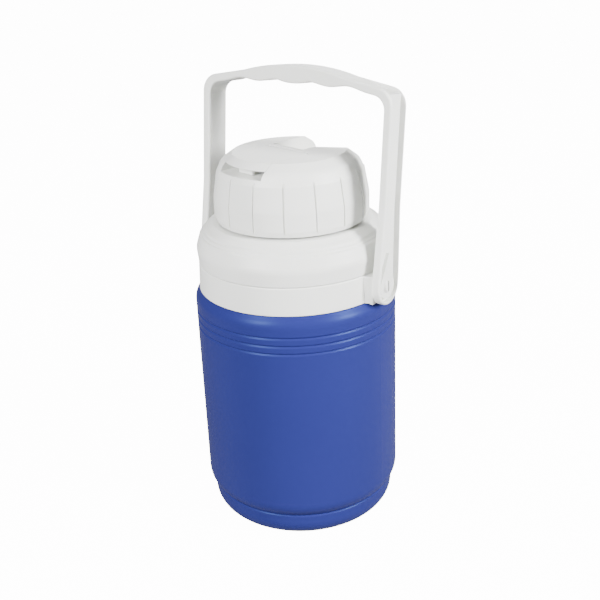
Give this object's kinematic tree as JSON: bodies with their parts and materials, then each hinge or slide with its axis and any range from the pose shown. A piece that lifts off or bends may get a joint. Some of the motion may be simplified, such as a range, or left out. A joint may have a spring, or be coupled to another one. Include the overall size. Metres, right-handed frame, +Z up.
{
  "type": "insulated water jug",
  "caption": "Small insulated drinking jug: foam-filled cylindrical body, wide screw lid, ribbed screw cap with flip-up flap over a spout, and a swinging bail handle.",
  "frame": {"origin": "centre of the foot, on the surface the jug stands on", "axes": "+Z up along the jug's axis, +X along the handle's pivot axis, -Y the front, where the flap opens"},
  "size_m": [0.1512, 0.138, 0.313],
  "materials": {
    "blue_shell": "satin",
    "white_moulding": "satin",
    "natural_liner": "satin",
    "insulating_foam": "matte",
    "soft_seal": "matte"
  },
  "bodies": {
    "jug": {"outer_shell": "blue_shell", "base_plug": "blue_shell", "body_foam": "insulating_foam", "inner_liner": "natural_liner", "handle_collar": "white_moulding", "pivot_stud_left": "white_moulding", "pivot_stud_right": "white_moulding"},
    "bail": {"handle": "white_moulding"},
    "lid": {"lid_shell": "white_moulding", "lid_liner": "natural_liner", "lid_foam": "insulating_foam", "lid_gasket": "soft_seal"},
    "cap": {"cap_shell": "white_moulding", "cap_core": "natural_liner", "cap_gasket": "soft_seal", "drink_spout": "natural_liner", "flap_hinge": "white_moulding"},
    "flap": {"flip_flap": "white_moulding", "spout_seal": "soft_seal"}
  },
  "joints": [
    {"name": "handle_swing", "type": "hinge", "parent": "jug", "child": "bail", "pos_m": [0, 0, 0.178], "axis": [1, 0, 0], "range_deg": [-133.4, 146.6]},
    {"name": "lid_lift", "type": "slide", "parent": "jug", "child": "lid", "axis": [0, 0, 1], "range_m": [0, 0.036]},
    {"name": "cap_lift", "type": "slide", "parent": "lid", "child": "cap", "axis": [0, 0, 1], "range_m": [0, 0.036]},
    {"name": "flap_open", "type": "hinge", "parent": "cap", "child": "flap", "pos_m": [-0.00035, -0.00197, 0.2595], "axis": [-0.9848, 0.1736, 0], "range_deg": [0, 125]}
  ]
}
